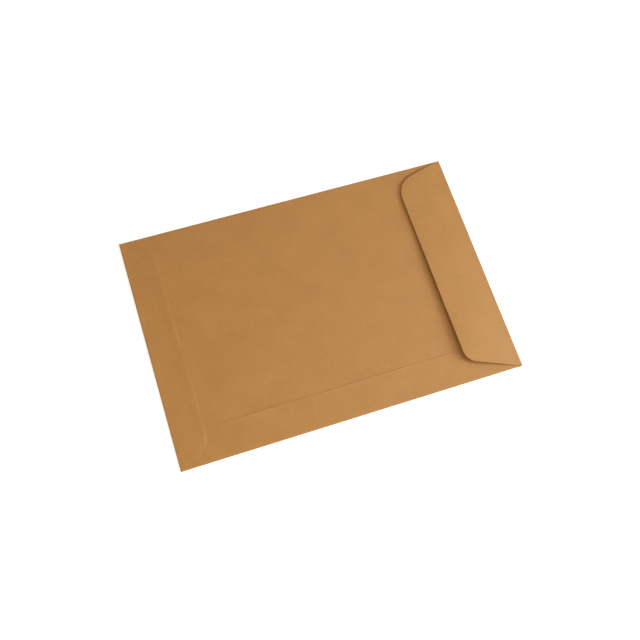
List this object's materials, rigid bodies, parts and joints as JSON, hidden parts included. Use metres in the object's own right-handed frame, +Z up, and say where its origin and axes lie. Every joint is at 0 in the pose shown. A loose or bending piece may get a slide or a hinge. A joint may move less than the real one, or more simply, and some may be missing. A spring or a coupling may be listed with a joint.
{
  "type": "paper envelope",
  "caption": "Open-end paper envelope lying flat: a folded sheet with a glued side seam and bottom flap, an open pocket, and a round-cornered closure flap folded over and slightly raised.",
  "frame": {"origin": "middle of the underside of the envelope, where it lies on the table", "axes": "+X from the closed end to the mouth fold, +Y from the near long edge with the seam strip to the far long edge, +Z up, with the back panel and the closure flap facing up"},
  "size_m": [0.241, 0.165, 0.0049],
  "materials": {
    "kraft_paper": "matte unbleached kraft paper"
  },
  "bodies": {
    "root": {"envelope": "kraft_paper"}
  },
  "joints": []
}
